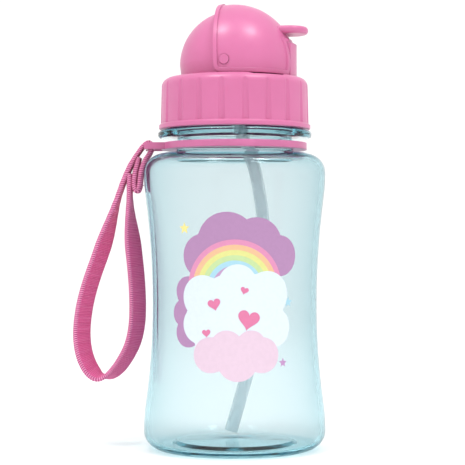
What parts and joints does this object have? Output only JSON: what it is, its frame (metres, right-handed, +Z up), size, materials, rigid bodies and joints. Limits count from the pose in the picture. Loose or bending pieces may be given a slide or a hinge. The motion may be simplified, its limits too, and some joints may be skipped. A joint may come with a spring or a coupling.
{
  "type": "kids straw bottle",
  "caption": "Waisted see-through kids' bottle with fluted screw cap, swing-back visor over a folding straw spout, strap ring and webbing wrist loop.",
  "frame": {"origin": "centre of the foot, on the surface the bottle stands on", "axes": "+Z up along the bottle's axis; the front faces -Y; the wrist strap hangs on the -X side and the visor's thumb tab points to +X"},
  "size_m": [0.0942, 0.0696, 0.17],
  "materials": {
    "clear_aqua": "clear gloss",
    "pink_plastic": "satin",
    "retainer_plastic": "matt",
    "silicone": "soft translucent",
    "straw_plastic": "translucent",
    "webbing": "woven"
  },
  "bodies": {
    "vessel": {"bottle": "clear_aqua"},
    "seal": {"neck_seal": "silicone"},
    "retainer": {"spout_retainer": "retainer_plastic"},
    "cap": {"screw_cap": "pink_plastic", "spout_base": "silicone", "vent_valve": "silicone", "straw": "straw_plastic"},
    "cover": {"visor": "pink_plastic"},
    "spout": {"spout_tip": "silicone"},
    "ring": {"strap_ring": "pink_plastic"},
    "strap": {"wrist_strap": "webbing"}
  },
  "joints": [
    {"name": "cap_lift_off", "type": "slide", "parent": "vessel", "child": "seal", "axis": [0, 0, 1], "range_m": [0, 0.15]},
    {"name": "cap_rise", "type": "slide", "parent": "seal", "child": "retainer", "axis": [0, 0, 1], "range_m": [0, 0.0079]},
    {"name": "cap_unscrew", "type": "hinge", "parent": "retainer", "child": "cap", "pos_m": [0, 0, 0.1219], "axis": [0, 0, 1], "range_deg": [0, 470]},
    {"name": "visor_open", "type": "hinge", "parent": "cap", "child": "cover", "pos_m": [0, 0, 0.1464], "axis": [-0.1736, -0.9848, 0], "range_deg": [0, 85]},
    {"name": "spout_flip", "type": "hinge", "parent": "cap", "child": "spout", "pos_m": [0, 0, 0.144], "axis": [-0.1736, -0.9848, 0], "range_deg": [0, 62]},
    {"name": "strap_ring_turn", "type": "hinge", "parent": "vessel", "child": "ring", "pos_m": [0, 0, 0.1154], "axis": [0, 0, 1], "continuous": true},
    {"name": "wrist_strap_swing", "type": "hinge", "parent": "ring", "child": "strap", "pos_m": [-0.0333, 0, 0.1151], "axis": [0, 1, 0], "range_deg": [0, 100]}
  ],
  "couplings": [
    {"joint": "cap_rise", "follows": "cap_unscrew", "m_per_rad": 0.00095493},
    {"joint": "spout_flip", "follows": "visor_open", "ratio": 0.68235}
  ]
}
